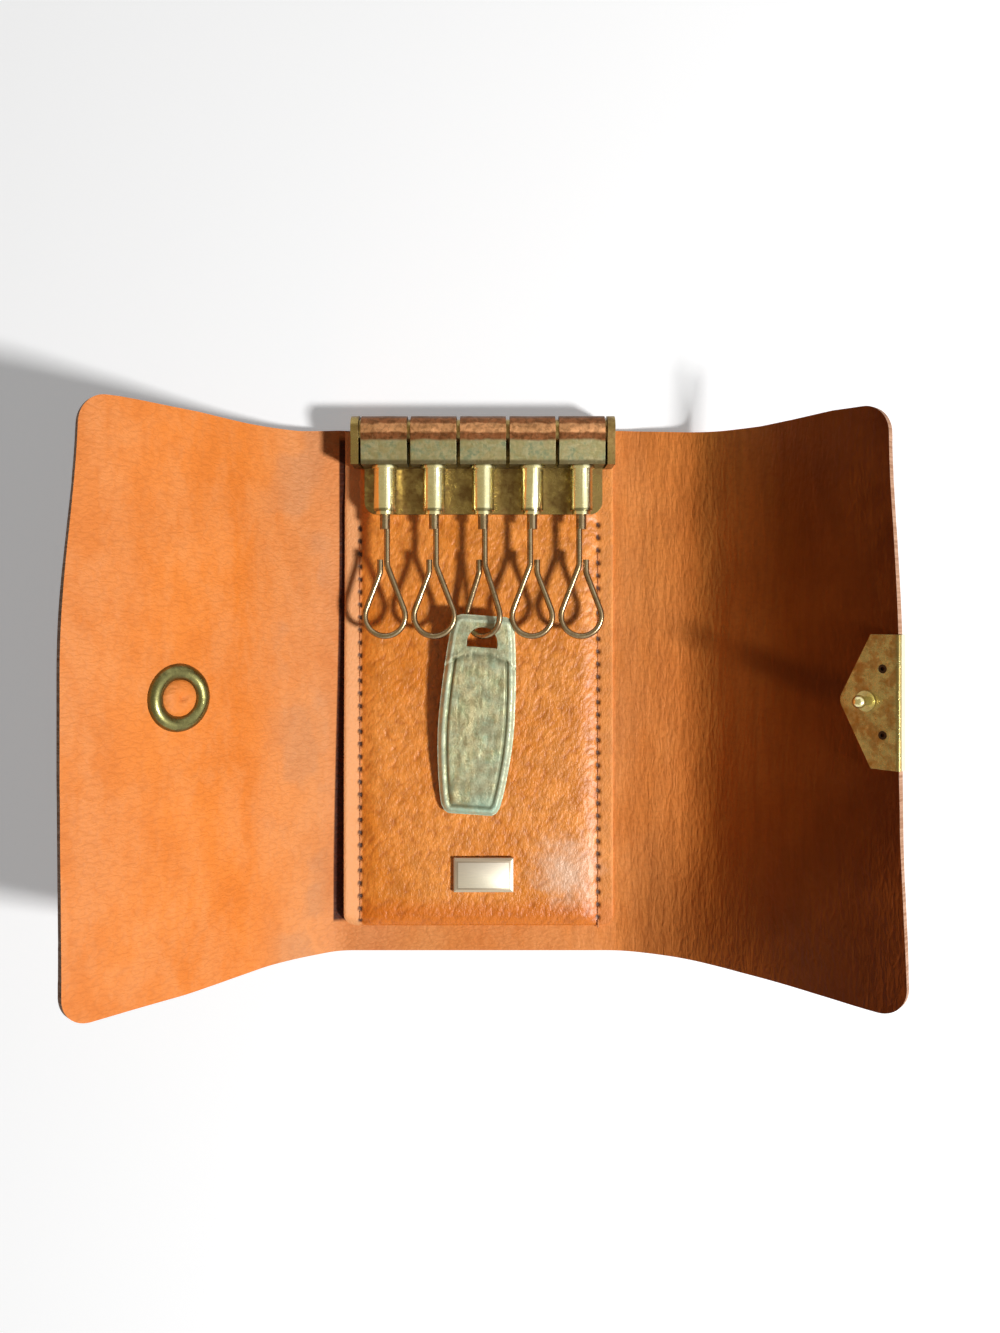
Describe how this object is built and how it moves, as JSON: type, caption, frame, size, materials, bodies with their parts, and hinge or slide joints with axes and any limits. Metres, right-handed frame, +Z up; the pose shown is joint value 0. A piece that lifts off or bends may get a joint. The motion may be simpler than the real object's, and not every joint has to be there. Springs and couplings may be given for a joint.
{
  "type": "key case",
  "caption": "Folding leather key case, lying open, with swivel wire hooks on a rod, a hanging tag and a snap fastener between its two covers.",
  "frame": {"origin": "middle of the underside of the back leather, on the surface that the case lies on", "axes": "+X to the right as one looks down on the open case, +Y to the end with the hooks, +Z up, out of the open case"},
  "size_m": [0.1404, 0.1067, 0.0405],
  "materials": {
    "outer_leather": "tan pull-up leather, worn",
    "lining_leather": "smooth matte tan leather",
    "panel_leather": "glossy pebbled orange-brown leather",
    "board": "stiffening board",
    "old_brass": "worn brass, brown to green in the hollows",
    "bright_brass": "polished brass, a little worn",
    "verdigris_brass": "green and beige patina",
    "nickel": "pale silvery plate",
    "spring_steel": "plain spring wire"
  },
  "bodies": {
    "case": {"back_leather": "outer_leather", "back_lining": "lining_leather", "key_panel": "panel_leather", "panel_stiffener": "board", "label_plate": "nickel", "mounting_plate": "old_brass", "plate_rivets": "old_brass", "hinge_rod": "old_brass"},
    "left_spine": {"left_spine_leather": "outer_leather", "left_spine_lining": "lining_leather"},
    "left_cover": {"left_cover_leather": "outer_leather", "left_cover_lining": "lining_leather", "snap_ring": "bright_brass", "snap_socket": "bright_brass", "socket_spring": "spring_steel"},
    "right_spine": {"right_spine_leather": "outer_leather", "right_spine_lining": "lining_leather"},
    "right_cover": {"right_cover_leather": "outer_leather", "right_cover_lining": "lining_leather", "clasp_plate": "old_brass", "clasp_rivets": "old_brass", "snap_stud": "bright_brass"},
    "key_strap_1": {"strap_1": "old_brass", "barrel_1": "bright_brass"},
    "key_hook_1": {"hook_1": "bright_brass"},
    "key_strap_2": {"strap_2": "old_brass", "barrel_2": "bright_brass"},
    "key_hook_2": {"hook_2": "bright_brass"},
    "key_strap_3": {"strap_3": "old_brass", "barrel_3": "bright_brass"},
    "key_hook_3": {"hook_3": "bright_brass"},
    "key_strap_4": {"strap_4": "old_brass", "barrel_4": "bright_brass"},
    "key_hook_4": {"hook_4": "bright_brass"},
    "key_strap_5": {"strap_5": "old_brass", "barrel_5": "bright_brass"},
    "key_hook_5": {"hook_5": "bright_brass"},
    "key_tag": {"tag": "verdigris_brass"}
  },
  "joints": [
    {"name": "left_spine_fold", "type": "hinge", "parent": "case", "child": "left_spine", "pos_m": [-0.0285, 0, 0.0013], "axis": [0, 1, 0], "range_deg": [-33, 54], "stiffness_Nm_per_rad": 0.3},
    {"name": "left_cover_fold", "type": "hinge", "parent": "left_spine", "child": "left_cover", "pos_m": [-0.03861, 0, 0.00865], "axis": [0, 1, 0], "range_deg": [-12.5, 77.5], "stiffness_Nm_per_rad": 0.3},
    {"name": "right_spine_fold", "type": "hinge", "parent": "case", "child": "right_spine", "pos_m": [0.0285, 0, 0.0013], "axis": [0, -1, 0], "range_deg": [-11.5, 77.5], "stiffness_Nm_per_rad": 0.3},
    {"name": "right_cover_fold", "type": "hinge", "parent": "right_spine", "child": "right_cover", "pos_m": [0.04461, 0, 0.00487], "axis": [0, -1, 0], "range_deg": [-36.5, 53.5], "stiffness_Nm_per_rad": 0.3},
    {"name": "strap_1_swing", "type": "hinge", "parent": "case", "child": "key_strap_1", "pos_m": [-0.0183, 0.0513, 0.0079], "axis": [-1, 0, 0], "range_deg": [0, 175]},
    {"name": "hook_1_swivel", "type": "hinge", "parent": "key_strap_1", "child": "key_hook_1", "pos_m": [-0.0183, 0.0349, 0.0079], "axis": [0, -1, 0], "continuous": true},
    {"name": "strap_2_swing", "type": "hinge", "parent": "case", "child": "key_strap_2", "pos_m": [-0.0087, 0.0513, 0.0079], "axis": [-1, 0, 0], "range_deg": [0, 175]},
    {"name": "hook_2_swivel", "type": "hinge", "parent": "key_strap_2", "child": "key_hook_2", "pos_m": [-0.0087, 0.0349, 0.0079], "axis": [0, -1, 0], "continuous": true},
    {"name": "strap_3_swing", "type": "hinge", "parent": "case", "child": "key_strap_3", "pos_m": [0.0009, 0.0513, 0.0079], "axis": [-1, 0, 0], "range_deg": [0, 175]},
    {"name": "hook_3_swivel", "type": "hinge", "parent": "key_strap_3", "child": "key_hook_3", "pos_m": [0.0009, 0.0349, 0.0079], "axis": [0, -1, 0], "range_deg": [0, 110]},
    {"name": "strap_4_swing", "type": "hinge", "parent": "case", "child": "key_strap_4", "pos_m": [0.0105, 0.0513, 0.0079], "axis": [-1, 0, 0], "range_deg": [0, 175]},
    {"name": "hook_4_swivel", "type": "hinge", "parent": "key_strap_4", "child": "key_hook_4", "pos_m": [0.0105, 0.0349, 0.0079], "axis": [0, -1, 0], "continuous": true},
    {"name": "strap_5_swing", "type": "hinge", "parent": "case", "child": "key_strap_5", "pos_m": [0.0201, 0.0513, 0.0079], "axis": [-1, 0, 0], "range_deg": [0, 175]},
    {"name": "hook_5_swivel", "type": "hinge", "parent": "key_strap_5", "child": "key_hook_5", "pos_m": [0.0201, 0.0349, 0.0079], "axis": [0, -1, 0], "continuous": true},
    {"name": "tag_swing", "type": "hinge", "parent": "key_strap_3", "child": "key_tag", "pos_m": [0.001, 0.01429, 0.0079], "axis": [-1, 0, 0], "range_deg": [0, 10]}
  ]
}
